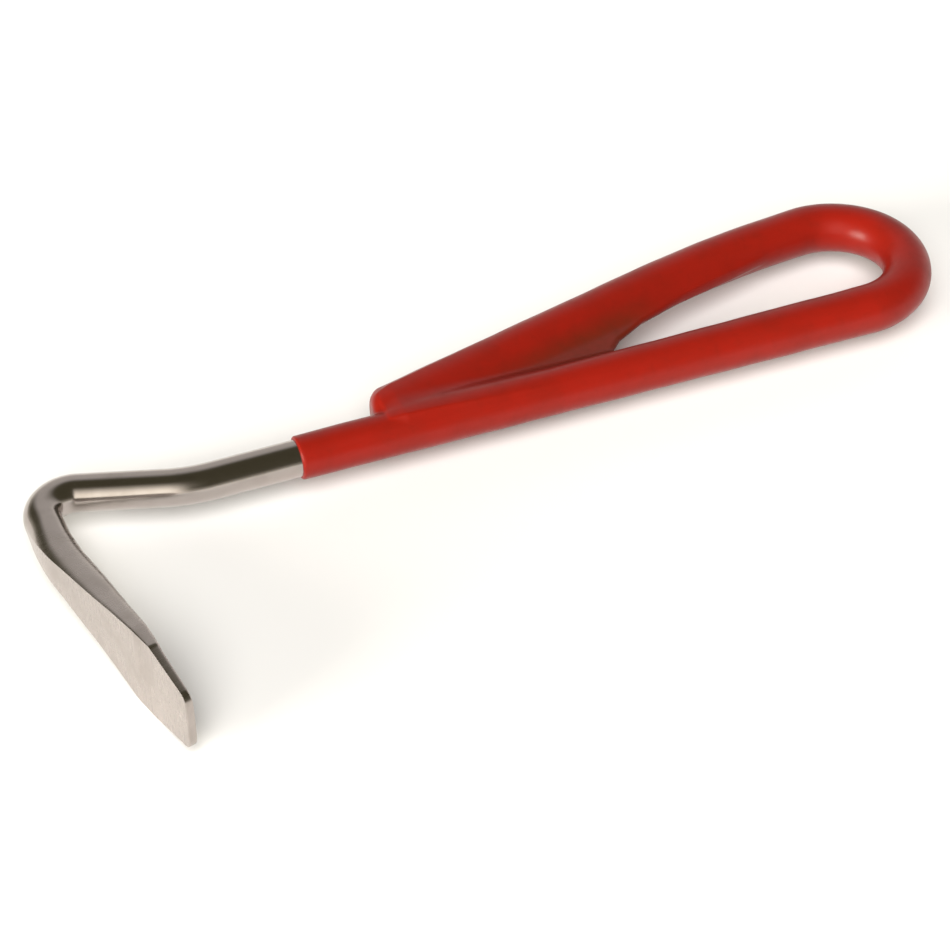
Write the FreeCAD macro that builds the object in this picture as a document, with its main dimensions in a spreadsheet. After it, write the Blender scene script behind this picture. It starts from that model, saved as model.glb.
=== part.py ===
"""Hoof pick: one bent steel rod with a forged hook, and the dip-coated vinyl grip on its loop handle.

The rod is laid out flat in the XY plane. The loop handle lies towards +X, the hook
points towards -Y, and the blade's width runs along Z. Both bodies are drawn with the
start of the handle's end bend at their own origin, and their placement then brings the
middle of the whole tool's footprint to the row's origin, with the lowest edge at Z = 0.
"""
import FreeCAD, Part
import math
import os
import Sketcher

os.makedirs("parts", exist_ok=True)
doc = FreeCAD.newDocument("hoof_pick")

# ---------------------------------------------------------------- driving dimensions (mm, degrees)
DIMENSIONS = {
    "rod_diameter": 6.35,          # quarter-inch round steel
    "shank_length": 120.0,         # straight run, from the handle's end bend to the kink
    "loop_bend_radius": 12.8,      # centre line of the handle's end bend
    "loop_bend_turn": 185.0,
    "side_bow_radius": 196.0,      # long gentle bow of the returning side
    "side_bow_turn": 9.5,
    "tail_clearance": 0.1,         # between the cut end of the returning side and the shank
    "kink_radius": 26.0,           # the shank sets back before the hook
    "kink_turn": 18.0,
    "neck_length": 14.0,           # straight run between the kink and the hook bend
    "hook_bend_radius": 5.5,
    "hook_lead": 5.0,              # back of the hook, still in line with the end of the bend
    "hook_sweep_radius": 38.0,     # then it turns gently inwards
    "hook_sweep_turn": 14.0,
    "shoulder_distance": 43.1,     # along Y, from the end of the hook bend
    "tip_distance": 54.0,
    "tip_width": 9.9,
    "tip_corner_radius": 1.7,
    "grip_length": 105.2,          # covered part of the shank
    "grip_radius_edge": 3.75,      # outer radius of the coat at its edge
    "grip_radius_loop": 4.28,      # outer radius of the coat round the loop
    "grip_lip": 0.35,              # rounding of the coat's edge, as a small slope
    "tail_cap_length": 3.2,        # coat beyond the cut end of the rod
    "web_reach": 35.0,             # crotch filled from the tail end, along X
    "web_thickness": 4.6,
    "web_fillet_reach": 62.0,      # thickened inner side of the returning side
}

# Sections of the forged hook: distance along Y from the end of the bend, width across Z,
# thickness along X and corner radius. The first lies just inside the round rod that it
# grows from; the last is the tip before its sides are trimmed.
HOOK_SECTIONS = (
    (0.0, 6.25, 6.25, 3.06),
    (12.0, 6.8, 6.3, 2.2),
    (26.0, 10.1, 4.9, 1.1),
    (43.1, 15.0, 2.5, 0.5),
    (54.0, 16.4, 1.0, 0.3),
)
for number, section in enumerate(HOOK_SECTIONS, start=1):
    for word, value in zip(("distance", "width", "thickness", "corner"), section):
        DIMENSIONS[f"hook_{word}_{number}"] = value

sheet = doc.addObject("Spreadsheet::Sheet", "Sizes")
for row, (alias, number) in enumerate(DIMENSIONS.items(), start=1):
    sheet.set(f"A{row}", alias)
    sheet.set(f"B{row}", str(number))
    sheet.setAlias(f"B{row}", alias)
doc.recompute()


def size(alias):
    """Value of one cell of the sheet."""
    return float(sheet.get(alias))


def heading(degrees):
    """Unit vector in the XY plane at an angle from +X."""
    angle = math.radians(degrees)
    return FreeCAD.Vector(math.cos(angle), math.sin(angle), 0)


# ---------------------------------------------------------------- centre line, worked out once
ROD_RADIUS = size("rod_diameter") / 2
SIDE_HEADING = size("loop_bend_turn") + size("side_bow_turn")
LOOP_CENTRE = FreeCAD.Vector(0, size("loop_bend_radius"), 0)
BOW_START = LOOP_CENTRE + heading(size("loop_bend_turn") - 90) * size("loop_bend_radius")
BOW_CENTRE = BOW_START + heading(size("loop_bend_turn") + 90) * size("side_bow_radius")
SIDE_START = BOW_CENTRE + heading(SIDE_HEADING - 90) * size("side_bow_radius")
TAIL_HEIGHT = size("rod_diameter") + size("tail_clearance")
SIDE_LENGTH = (TAIL_HEIGHT - SIDE_START.y) / heading(SIDE_HEADING).y
TAIL_END = SIDE_START + heading(SIDE_HEADING) * SIDE_LENGTH

KINK_START = FreeCAD.Vector(-size("shank_length"), 0, 0)
KINK_CENTRE = KINK_START + FreeCAD.Vector(0, size("kink_radius"), 0)
NECK_HEADING = 180 - size("kink_turn")
NECK_START = KINK_CENTRE + heading(NECK_HEADING + 90) * size("kink_radius")
NECK_END = NECK_START + heading(NECK_HEADING) * size("neck_length")
BEND_CENTRE = NECK_END + heading(NECK_HEADING + 90) * size("hook_bend_radius")
BEND_END = BEND_CENTRE - FreeCAD.Vector(size("hook_bend_radius"), 0, 0)


def hook_back(distance):
    """X of the hook's back at a distance down from the bend: straight, an arc, then straight."""
    back = BEND_END.x - size("hook_thickness_1") / 2
    turn = math.radians(size("hook_sweep_turn"))
    sweep = min(max(distance - size("hook_lead"), 0), size("hook_sweep_radius") * math.sin(turn))
    back += size("hook_sweep_radius") - math.sqrt(size("hook_sweep_radius") ** 2 - sweep ** 2)
    beyond = max(distance - size("hook_lead") - size("hook_sweep_radius") * math.sin(turn), 0)
    return back + beyond * math.tan(turn)


# ---------------------------------------------------------------- sketch helpers
def new_body(label):
    """Empty body whose name and label are the sub-part's."""
    body = doc.addObject("PartDesign::Body", label)
    body.Label = label
    return body


def origin_item(body, role):
    """Plane or axis of the body's own origin, found by its role."""
    return next(item for item in body.Origin.OriginFeatures if item.Role == role)


def new_sketch(body, name, role, offset=0.0):
    """Sketch flat on one of the body's origin planes, or parallel to it."""
    sketch = body.newObject("Sketcher::SketchObject", name)
    sketch.AttachmentSupport = (origin_item(body, role), [""])
    sketch.MapMode = "FlatFace"
    sketch.AttachmentOffset = FreeCAD.Placement(FreeCAD.Vector(0, 0, offset), FreeCAD.Rotation())
    return sketch


def bind(sketch, constraint, expression):
    """Add a driving constraint and bind it to the sheet."""
    index = sketch.addConstraint(constraint)
    sketch.setExpression(f"Constraints[{index}]", expression)
    return index


def arc(centre, radius, first, last):
    """Arc in the XY plane, anticlockwise between two angles in degrees."""
    circle = Part.Circle(centre, FreeCAD.Vector(0, 0, 1), radius)
    return Part.ArcOfCircle(circle, math.radians(first), math.radians(last))


def circle_sketch(body, name, radius, expression):
    """Circle round the rod's centre line, in the plane where the handle's end bend starts."""
    sketch = new_sketch(body, name, "YZ_Plane")
    circle = sketch.addGeometry(Part.Circle(FreeCAD.Vector(), FreeCAD.Vector(0, 0, 1), radius))
    sketch.addConstraint(Sketcher.Constraint("Coincident", circle, 3, -1, 1))
    bind(sketch, Sketcher.Constraint("Radius", circle, radius), expression)
    return sketch


def loop_path(body, name):
    """Centre line of the handle: end bend, long bow and the straight run to the cut end."""
    sketch = new_sketch(body, name, "XY_Plane")
    turn = size("loop_bend_turn")
    bend = sketch.addGeometry(arc(LOOP_CENTRE, size("loop_bend_radius"), -90, turn - 90))
    bow = sketch.addGeometry(arc(BOW_CENTRE, size("side_bow_radius"), turn - 90, SIDE_HEADING - 90))
    side = sketch.addGeometry(Part.LineSegment(SIDE_START, TAIL_END))
    sketch.addConstraint(Sketcher.Constraint("Coincident", bend, 1, -1, 1))
    sketch.addConstraint(Sketcher.Constraint("PointOnObject", bend, 3, -2))
    sketch.addConstraint(Sketcher.Constraint("Tangent", bend, 2, bow, 1))
    sketch.addConstraint(Sketcher.Constraint("Tangent", bow, 2, side, 1))
    bind(sketch, Sketcher.Constraint("Radius", bend, size("loop_bend_radius")), "Sizes.loop_bend_radius")
    bind(sketch, Sketcher.Constraint("Radius", bow, size("side_bow_radius")), "Sizes.side_bow_radius")
    bind(sketch, Sketcher.Constraint("Angle", bend, math.radians(turn)), "Sizes.loop_bend_turn * 1 deg")
    bind(sketch, Sketcher.Constraint("Angle", bow, math.radians(size("side_bow_turn"))),
         "Sizes.side_bow_turn * 1 deg")
    bind(sketch, Sketcher.Constraint("DistanceY", -1, 1, side, 2, TAIL_HEIGHT),
         "Sizes.rod_diameter + Sizes.tail_clearance")
    return sketch


def hook_path(body, name):
    """Centre line from the handle's end bend down the shank, round the kink and the hook bend."""
    sketch = new_sketch(body, name, "XY_Plane")
    shank = sketch.addGeometry(Part.LineSegment(FreeCAD.Vector(), KINK_START))
    kink = sketch.addGeometry(arc(KINK_CENTRE, size("kink_radius"), NECK_HEADING + 90, 270))
    neck = sketch.addGeometry(Part.LineSegment(NECK_START, NECK_END))
    bend = sketch.addGeometry(arc(BEND_CENTRE, size("hook_bend_radius"), NECK_HEADING - 90, 180))
    sketch.addConstraint(Sketcher.Constraint("Coincident", shank, 1, -1, 1))
    sketch.addConstraint(Sketcher.Constraint("Horizontal", shank))
    sketch.addConstraint(Sketcher.Constraint("Tangent", shank, 2, kink, 2))
    sketch.addConstraint(Sketcher.Constraint("Tangent", kink, 1, neck, 1))
    sketch.addConstraint(Sketcher.Constraint("Tangent", neck, 2, bend, 1))
    bind(sketch, Sketcher.Constraint("Distance", shank, size("shank_length")), "Sizes.shank_length")
    bind(sketch, Sketcher.Constraint("Radius", kink, size("kink_radius")), "Sizes.kink_radius")
    bind(sketch, Sketcher.Constraint("Angle", kink, math.radians(size("kink_turn"))),
         "Sizes.kink_turn * 1 deg")
    bind(sketch, Sketcher.Constraint("Distance", neck, size("neck_length")), "Sizes.neck_length")
    bind(sketch, Sketcher.Constraint("Radius", bend, size("hook_bend_radius")), "Sizes.hook_bend_radius")
    bind(sketch, Sketcher.Constraint("Angle", bend, math.radians(90 + size("kink_turn"))),
         "(90 + Sizes.kink_turn) * 1 deg")
    return sketch


def hook_section(body, number):
    """Rounded rectangle across the hook: flat back towards -X, width across Z."""
    distance = size(f"hook_distance_{number}")
    width = size(f"hook_width_{number}")
    thickness = size(f"hook_thickness_{number}")
    corner = size(f"hook_corner_{number}")
    back = hook_back(distance)
    sketch = new_sketch(body, f"hook_section_{number}", "XZ_Plane", distance - BEND_END.y)
    low, high = -width / 2, width / 2
    left, right = back, back + thickness
    corners = (
        (right - corner, low + corner, -90),
        (right - corner, high - corner, 0),
        (left + corner, high - corner, 90),
        (left + corner, low + corner, 180),
    )
    arcs = [sketch.addGeometry(arc(FreeCAD.Vector(x, z, 0), corner, first, first + 90))
            for x, z, first in corners]
    lines = []
    for index, (x, z, first) in enumerate(corners):
        next_x, next_z, next_first = corners[(index + 1) % 4]
        start = FreeCAD.Vector(x, z, 0) + heading(first + 90) * corner
        end = FreeCAD.Vector(next_x, next_z, 0) + heading(next_first) * corner
        lines.append(sketch.addGeometry(Part.LineSegment(start, end)))
    for index in range(4):
        sketch.addConstraint(Sketcher.Constraint("Tangent", arcs[index], 2, lines[index], 1))
        sketch.addConstraint(Sketcher.Constraint("Tangent", lines[index], 2, arcs[(index + 1) % 4], 1))
    for index in (1, 2, 3):
        sketch.addConstraint(Sketcher.Constraint("Equal", arcs[0], arcs[index]))
    sketch.addConstraint(Sketcher.Constraint("Horizontal", lines[1]))
    sketch.addConstraint(Sketcher.Constraint("Vertical", lines[2]))
    sketch.addConstraint(Sketcher.Constraint("Horizontal", lines[3]))
    sketch.addConstraint(Sketcher.Constraint("Symmetric", lines[0], 1, lines[0], 2, -1))
    bind(sketch, Sketcher.Constraint("Radius", arcs[0], corner), f"Sizes.hook_corner_{number}")
    bind(sketch, Sketcher.Constraint("DistanceY", lines[0], 1, lines[0], 2, width - 2 * corner),
         f"Sizes.hook_width_{number} - 2 * Sizes.hook_corner_{number}")
    bind(sketch, Sketcher.Constraint("DistanceX", lines[1], 2, lines[1], 1, thickness - 2 * corner),
         f"Sizes.hook_thickness_{number} - 2 * Sizes.hook_corner_{number}")
    sketch.addConstraint(Sketcher.Constraint("DistanceX", lines[0], 1, -1, 1, -right))
    return sketch


def polygon_sketch(body, name, role, loops):
    """Sketch of closed straight-sided outlines, each joined corner to corner."""
    sketch = new_sketch(body, name, role)
    for points in loops:
        corners = [FreeCAD.Vector(x, y, 0) for x, y in points]
        sides = [sketch.addGeometry(Part.LineSegment(corner, corners[(index + 1) % len(corners)]))
                 for index, corner in enumerate(corners)]
        for index, side in enumerate(sides):
            following = sides[(index + 1) % len(sides)]
            sketch.addConstraint(Sketcher.Constraint("Coincident", side, 2, following, 1))
            for axis, value in (("DistanceX", corners[index].x), ("DistanceY", corners[index].y)):
                sketch.addConstraint(Sketcher.Constraint(axis, -1, 1, side, 1, value))
    return sketch


def add_pipe(body, kind, name, profile, path):
    """Sweep of a profile along a path sketch, added to the body or cut from it."""
    pipe = body.newObject(f"PartDesign::{kind}", name)
    pipe.Profile = profile
    pipe.Spine = (path, [])
    doc.recompute()
    return pipe


# ---------------------------------------------------------------- steel rod
def is_tip_corner(edge, tip, tip_half):
    """True for the two short edges through the blade's thickness at the corners of its tip."""
    ends = [vertex.Point for vertex in edge.Vertexes]
    across = abs(ends[0].z - ends[-1].z) < 0.01
    return across and all(abs(end.y - tip) < 0.01 and abs(abs(end.z) - tip_half) < 0.05 for end in ends)


def make_steel_rod():
    """Bent rod: handle side, shank side, forged hook, and the trimmed sides of the blade."""
    body = new_body("steel_rod")
    rod_circle = circle_sketch(body, "rod_circle", ROD_RADIUS, "Sizes.rod_diameter / 2")
    add_pipe(body, "AdditivePipe", "handle_loop", rod_circle, loop_path(body, "loop_path"))
    shank_circle = circle_sketch(body, "shank_circle", ROD_RADIUS, "Sizes.rod_diameter / 2")
    add_pipe(body, "AdditivePipe", "shank", shank_circle, hook_path(body, "hook_path"))

    sections = [hook_section(body, number) for number in range(1, len(HOOK_SECTIONS) + 1)]
    doc.recompute()
    hook = body.newObject("PartDesign::AdditiveLoft", "forged_hook")
    hook.Profile = sections[0]
    hook.Sections = sections[1:]
    doc.recompute()

    shoulder = BEND_END.y - size("shoulder_distance")
    tip = BEND_END.y - size("tip_distance")
    shoulder_half = size("hook_width_4") / 2
    tip_half = size("tip_width") / 2
    outside = shoulder_half + size("rod_diameter")
    slope = (shoulder_half - tip_half) / (shoulder - tip)
    overrun = 2.0
    trims = [[(shoulder, side * shoulder_half), (shoulder, side * outside),
              (tip - overrun, side * outside), (tip - overrun, side * (tip_half - slope * overrun))]
             for side in (1, -1)]
    before = body.Shape.Volume
    trim = body.newObject("PartDesign::Pocket", "blade_sides")
    trim.Profile = polygon_sketch(body, "blade_sides_outline", "YZ_Plane", trims)
    trim.Midplane = True
    trim.Length = 4 * size("shank_length")
    doc.recompute()
    if not body.Shape.Volume < before - 1:
        raise RuntimeError("the blade's sides were not trimmed")

    corners = [f"Edge{index}" for index, edge in enumerate(trim.Shape.Edges, start=1)
               if is_tip_corner(edge, tip, tip_half)]
    rounding = body.newObject("PartDesign::Fillet", "tip_corners")
    rounding.Base = (trim, corners)
    rounding.setExpression("Radius", "Sizes.tip_corner_radius")
    doc.recompute()
    return body


# ---------------------------------------------------------------- vinyl grip
def side_height(x):
    """Y of the returning side's centre line at a given X along its straight run."""
    return TAIL_END.y + (x - TAIL_END.x) * math.tan(math.radians(SIDE_HEADING - 180))


def make_vinyl_grip():
    """Dip coat: tapered sleeve on the shank, tube round the loop, end cap and web in the crotch."""
    body = new_body("vinyl_grip")
    start = -size("grip_length")
    sleeve_outline = polygon_sketch(body, "sleeve_outline", "XY_Plane", [[
        (start, 0), (0, 0), (0, size("grip_radius_loop")),
        (start + size("grip_lip"), size("grip_radius_edge")),
        (start, size("grip_radius_edge") - size("grip_lip"))]])
    sleeve = body.newObject("PartDesign::Revolution", "shank_sleeve")
    sleeve.Profile = sleeve_outline
    sleeve.ReferenceAxis = (sleeve_outline, ["H_Axis"])
    sleeve.Angle = 360
    doc.recompute()

    coat_circle = circle_sketch(body, "coat_circle", size("grip_radius_loop"), "Sizes.grip_radius_loop")
    add_pipe(body, "AdditivePipe", "loop_coat", coat_circle, loop_path(body, "coat_path"))

    cap = body.newObject("PartDesign::AdditiveSphere", "tail_cap")
    cap.AttachmentSupport = (origin_item(body, "XY_Plane"), [""])
    cap.MapMode = "FlatFace"
    cap.setExpression("Radius", "Sizes.grip_radius_loop")
    cap_centre = TAIL_END + heading(SIDE_HEADING) * (size("tail_cap_length") - size("grip_radius_loop"))
    cap.AttachmentOffset = FreeCAD.Placement(cap_centre, FreeCAD.Rotation())
    doc.recompute()

    web_x = TAIL_END.x + size("web_reach")
    fillet_x = TAIL_END.x + size("web_fillet_reach")
    web_outline = polygon_sketch(body, "web_outline", "XY_Plane", [[
        (TAIL_END.x, 0), (web_x, 0), (web_x, side_height(web_x) - size("grip_radius_loop") - 1),
        (fillet_x, side_height(fillet_x)), (TAIL_END.x, TAIL_END.y)]])
    web = body.newObject("PartDesign::Pad", "crotch_web")
    web.Profile = web_outline
    web.Midplane = True
    web.setExpression("Length", "Sizes.web_thickness")
    doc.recompute()

    bore_circle = circle_sketch(body, "bore_circle", ROD_RADIUS, "Sizes.rod_diameter / 2")
    add_pipe(body, "SubtractivePipe", "loop_bore", bore_circle, loop_path(body, "bore_path"))
    before = body.Shape.Volume
    shank_bore = body.newObject("PartDesign::Pocket", "shank_bore")
    shank_bore.Profile = circle_sketch(body, "shank_bore_circle", ROD_RADIUS, "Sizes.rod_diameter / 2")
    shank_bore.setExpression("Length", "Sizes.shank_length")
    doc.recompute()
    if body.Shape.Volume > before - 1:
        shank_bore.Reversed = True
        doc.recompute()
    return body


# ---------------------------------------------------------------- place, check and write
steel_rod = make_steel_rod()
vinyl_grip = make_vinyl_grip()
subparts = (steel_rod, vinyl_grip)

whole = FreeCAD.BoundBox()
for body in subparts:
    whole.add(body.Shape.optimalBoundingBox(False))
to_origin = FreeCAD.Vector(-(whole.XMin + whole.XMax) / 2, -(whole.YMin + whole.YMax) / 2, -whole.ZMin)
for body in subparts:
    body.Placement = FreeCAD.Placement(to_origin, FreeCAD.Rotation())
doc.recompute()

for item in doc.Objects:
    if "Invalid" in item.State or "Error" in item.State:
        raise RuntimeError(f"{item.Label} failed: {item.State}")
for body in subparts:
    if body.Shape.isNull() or not body.Shape.isValid():
        raise RuntimeError(f"{body.Label} has no valid shape")
    body.Shape.exportStep(f"parts/{body.Label}.step")
    box = body.Shape.optimalBoundingBox(False)
    print(body.Label, "solids", len(body.Shape.Solids), "volume", round(body.Shape.Volume, 1),
          "x", round(box.XMin, 2), round(box.XMax, 2), "y", round(box.YMin, 2), round(box.YMax, 2),
          "z", round(box.ZMin, 2), round(box.ZMax, 2))
print("moved by", to_origin)
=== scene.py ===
"""Looks of a hoof pick: a plated steel rod with a forged hook, and its dip-coated vinyl grip.

The rod lies flat. The loop handle is towards +X and the hook points towards -Y. Shapes
are worked out from an origin in the rod's middle plane, where the shank runs into the
handle's end bend; the CAD boxes give where that point is. The rod is in metres, and
the coat's distances are in millimetres.
"""
import math

import bpy
import numpy as np
from mathutils import Matrix, Vector


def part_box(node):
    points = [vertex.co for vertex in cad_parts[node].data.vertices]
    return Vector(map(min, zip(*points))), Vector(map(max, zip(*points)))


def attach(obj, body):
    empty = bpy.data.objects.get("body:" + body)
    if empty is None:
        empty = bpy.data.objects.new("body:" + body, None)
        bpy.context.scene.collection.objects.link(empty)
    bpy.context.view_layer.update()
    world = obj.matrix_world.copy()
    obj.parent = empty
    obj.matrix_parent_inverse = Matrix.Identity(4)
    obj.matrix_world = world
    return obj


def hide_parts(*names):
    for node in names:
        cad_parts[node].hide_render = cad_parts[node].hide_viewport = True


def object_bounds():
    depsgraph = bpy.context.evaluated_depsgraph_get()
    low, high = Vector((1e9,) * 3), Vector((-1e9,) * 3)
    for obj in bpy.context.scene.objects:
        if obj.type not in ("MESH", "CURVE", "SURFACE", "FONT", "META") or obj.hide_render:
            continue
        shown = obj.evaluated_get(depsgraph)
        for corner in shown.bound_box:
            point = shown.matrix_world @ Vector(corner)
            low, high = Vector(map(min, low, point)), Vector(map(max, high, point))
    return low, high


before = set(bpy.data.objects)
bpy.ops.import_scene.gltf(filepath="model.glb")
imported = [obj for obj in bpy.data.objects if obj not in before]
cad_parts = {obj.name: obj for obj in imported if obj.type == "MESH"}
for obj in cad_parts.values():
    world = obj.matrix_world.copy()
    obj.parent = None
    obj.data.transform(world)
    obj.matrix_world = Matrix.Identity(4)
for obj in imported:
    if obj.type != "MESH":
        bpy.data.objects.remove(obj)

bl_info = {
    "name": "Hoof Pick Builder",
    "version": (1, 0, 0),
    "blender": (4, 5, 0),
    "location": "View3D > Sidebar > Hoof Pick",
    "description": "Builds a bent-rod hoof pick with a dip-coated loop handle",
    "category": "Add Mesh",
}

MM = 0.001
CAD_BOX = [list(corner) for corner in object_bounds()]
ROD_LOW, ROD_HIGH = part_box("steel_rod")
GRIP_LOW, GRIP_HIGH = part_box("vinyl_grip")


# ---------------------------------------------------------------- properties
def length(name, description, default):
    """Length property, in metres."""
    return bpy.props.FloatProperty(name=name, description=description, default=default, unit="LENGTH",
                                   precision=5, min=0.0)


def angle(name, description, degrees):
    """Angle property, given in degrees."""
    return bpy.props.FloatProperty(name=name, description=description, default=math.radians(degrees),
                                   subtype="ANGLE")


def colour(name, description, default):
    """Linear colour property."""
    return bpy.props.FloatVectorProperty(name=name, description=description, default=default,
                                         subtype="COLOR", min=0.0, max=1.0)


def factor(name, description, default):
    """Number between 0 and 1."""
    return bpy.props.FloatProperty(name=name, description=description, default=default, subtype="FACTOR",
                                   min=0.0, max=1.0)


def brightness(name, description, default):
    """Strength of a light, or radiance of a patch of the surroundings."""
    return bpy.props.FloatProperty(name=name, description=description, default=default, min=0.0)


class HoofPickRodSettings(bpy.types.PropertyGroup):
    """Sizes of the bent rod and its forged hook"""
    rod_radius: length("Rod radius", "Half of the round rod's diameter", 3.175 * MM)
    shank_length: length("Shank", "Straight run from the handle's end bend to the kink", 120 * MM)
    loop_bend_radius: length("End bend radius", "Centre line radius of the handle's end", 12.8 * MM)
    loop_bend_turn: angle("End bend turn", "How far the end bend turns", 185)
    side_bow_radius: length("Side bow radius", "Long bow of the returning side", 196 * MM)
    side_bow_turn: angle("Side bow turn", "How far the returning side bows", 9.5)
    side_run: length("Side run", "Straight run of the returning side to its cut end", 54.334 * MM)
    kink_radius: length("Kink radius", "Set-back of the shank before the hook", 26 * MM)
    kink_turn: angle("Kink turn", "How far the set-back turns", 18)
    neck_length: length("Neck", "Straight run between the kink and the hook bend", 14 * MM)
    hook_bend_radius: length("Hook bend radius", "Centre line radius of the hook bend", 5.5 * MM)
    hook_lead: length("Hook lead", "Straight part of the hook before its sweep", 5 * MM)
    hook_sweep_radius: length("Hook sweep radius", "Gentle inward bend of the hook's back", 38 * MM)
    hook_sweep_turn: angle("Hook sweep turn", "How far the hook's back sweeps in", 14)
    hook_reach: length("Hook reach", "From the end of the bend to the tip, square to the shank", 54 * MM)
    tip_corner: length("Tip corner", "Rounding of the tip's two corners", 1.7 * MM)


class HoofPickGripSettings(bpy.types.PropertyGroup):
    """Sizes of the dipped coat"""
    cover: length("Covered shank", "Coated part of the shank", 105.2 * MM)
    edge_radius: length("Edge radius", "Outer radius of the coat at its edge", 3.75 * MM)
    edge_round: length("Edge rounding", "Rounding of the coat's edge", 0.4 * MM)
    loop_radius: length("Loop radius", "Outer radius of the coat round the loop", 4.3 * MM)
    tail_radius: length("Tail radius", "Outer radius of the coat at the cut end", 4.1 * MM)
    cap: length("End cap", "Coat beyond the cut end of the rod", 4.5 * MM)
    cap_round: length("Cap rounding", "Rounding of the end cap", 2.0 * MM)
    cap_tilt: angle("Cap tilt", "Turn of the end cap's face towards the shank", 24)
    crotch_fillet: length("Crotch fillet", "Hollow where the two sides meet", 2.6 * MM)
    cell: length("Mesh cell", "Spacing of the grid that the coat is worked out on", 0.33 * MM)


class HoofPickFinishSettings(bpy.types.PropertyGroup):
    """Colours and gloss of the two finishes"""
    steel: colour("Plate", "Colour of the nickel plate", (0.48, 0.43, 0.405))
    steel_dull: colour("Dull plate", "Colour of the plate where it is rubbed dull", (0.38, 0.335, 0.305))
    steel_roughness: factor("Plate roughness", "Roughness of the polished shank", 0.19)
    forged_roughness: factor("Forged roughness", "Roughness of the forged blade", 0.28)
    vinyl: colour("Vinyl", "Colour of the dipped coat", (0.235, 0.0088, 0.004))
    vinyl_deep: colour("Deep vinyl", "Colour of the coat in its darker clouds", (0.180, 0.0082, 0.0034))
    # Dark brown painted over the coat deep in the crotch as shade, where little light reaches.
    crotch_shade: colour("Crotch_shade", "Colour of the painted_shade in the crotch of the coat", (0.085, 0.016, 0.006))
    vinyl_roughness: factor("Vinyl roughness", "Roughness of the coat", 0.36)
    vinyl_specular: factor("Vinyl sheen", "Strength of the coat's reflection", 0.24)


class HoofPickStageSettings(bpy.types.PropertyGroup):
    """Camera, floor and light"""
    azimuth: angle("Camera azimuth", "Turn of the camera about the vertical", -20.047)
    elevation: angle("Camera elevation", "Height of the camera above the horizon", 39.932)
    roll: angle("Camera roll", "Turn of the camera about its own axis", -1.777)
    distance: length("Camera distance", "From the camera to the point that it looks at", 524 * MM)
    focal_length: bpy.props.FloatProperty(name="Focal length", description="Lens, in millimetres",
                                          default=120.56)
    aim_back: length("Aim back", "Camera's aim, back along the shank from the end bend", 79.522 * MM)
    aim_side: length("Aim side", "Camera's aim, to the hook's side of the shank", 15.484 * MM)
    floor: colour("Floor", "Colour of the floor", (0.88, 0.875, 0.87))
    room: colour("Room", "Light of the dim room", (0.085, 0.078, 0.048))
    room_behind: colour("Room behind", "Light from low down behind the tool", (0.64, 0.62, 0.595))
    front_window: brightness("Front window", "Radiance of the front window", 1.9)
    left_window: brightness("Left window", "Radiance of the left window", 24.0)
    horizon: brightness("Horizon", "Radiance of the glow all round at floor level", 0.45)
    studio_light: brightness("Studio light", "Strength of the soft main light", 3.5)


SETTINGS = {
    "hoof_pick_rod": HoofPickRodSettings,
    "hoof_pick_grip": HoofPickGripSettings,
    "hoof_pick_finish": HoofPickFinishSettings,
    "hoof_pick_stage": HoofPickStageSettings,
}


# ---------------------------------------------------------------- centre lines
def bend_origin(rod):
    """Where the shank runs into the handle's end bend, in the row frame, from the CAD boxes."""
    coat = (GRIP_HIGH.z - GRIP_LOW.z) / 2
    return Vector((GRIP_HIGH.x - rod.loop_bend_radius - coat,
                   GRIP_HIGH.y - 2 * rod.loop_bend_radius - coat,
                   (ROD_LOW.z + ROD_HIGH.z) / 2))


def walk(start_heading, runs, at):
    """Points and headings along a bent line that leaves the origin.

    Each run is (length, turn): straight if it doesn't turn, otherwise a circular arc. On
    an arc the heading grows evenly with length, and the position is its integral.
    """
    lengths = np.array([run[0] for run in runs])
    turns = np.array([run[1] for run in runs])
    starts = np.concatenate([[0], np.cumsum(lengths)[:-1]])
    headings = start_heading + np.concatenate([[0], np.cumsum(turns)[:-1]])
    curves = turns / lengths
    safe = np.where(curves == 0, 1, curves)

    def advance(index, run):
        first, last = headings[index], headings[index] + curves[index] * run
        bent = np.stack([np.sin(last) - np.sin(first), np.cos(first) - np.cos(last)], -1)
        flat = np.stack([np.cos(first), np.sin(first)], -1) * np.asarray(run)[..., None]
        return np.where(curves[index, None] == 0, flat, bent / safe[index, None]), last

    index_of_run = np.arange(len(runs))
    steps, _ = advance(index_of_run, lengths)
    corners = np.concatenate([[[0, 0]], np.cumsum(steps, 0)])
    index = np.clip(np.searchsorted(starts, at, side="right") - 1, 0, len(runs) - 1)
    step, heading_at = advance(index, at - starts[index])
    return corners[index] + step, heading_at


def handle_runs(rod):
    """Runs from the end bend's start round the loop to the cut end."""
    return [(rod.loop_bend_radius * rod.loop_bend_turn, rod.loop_bend_turn),
            (rod.side_bow_radius * rod.side_bow_turn, rod.side_bow_turn),
            (rod.side_run, 0.0)]


def hook_runs(rod):
    """Runs from the end bend's start down the shank to the hook's tip, as a plain round rod.

    The sweep's radius is that of the hook's back, so the centre line's is less by the
    rod's radius. The last run makes up the hook's reach.
    """
    turn = rod.hook_sweep_turn
    sweep = rod.hook_sweep_radius - rod.rod_radius
    left = rod.hook_reach - rod.hook_lead - rod.hook_sweep_radius * math.sin(turn)
    bend_turn = math.pi / 2 + rod.kink_turn
    return [(rod.shank_length, 0.0),
            (rod.kink_radius * rod.kink_turn, -rod.kink_turn),
            (rod.neck_length, 0.0),
            (rod.hook_bend_radius * bend_turn, bend_turn),
            (rod.hook_lead, 0.0),
            (sweep * turn, turn),
            (left / math.cos(turn), 0.0)]


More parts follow.
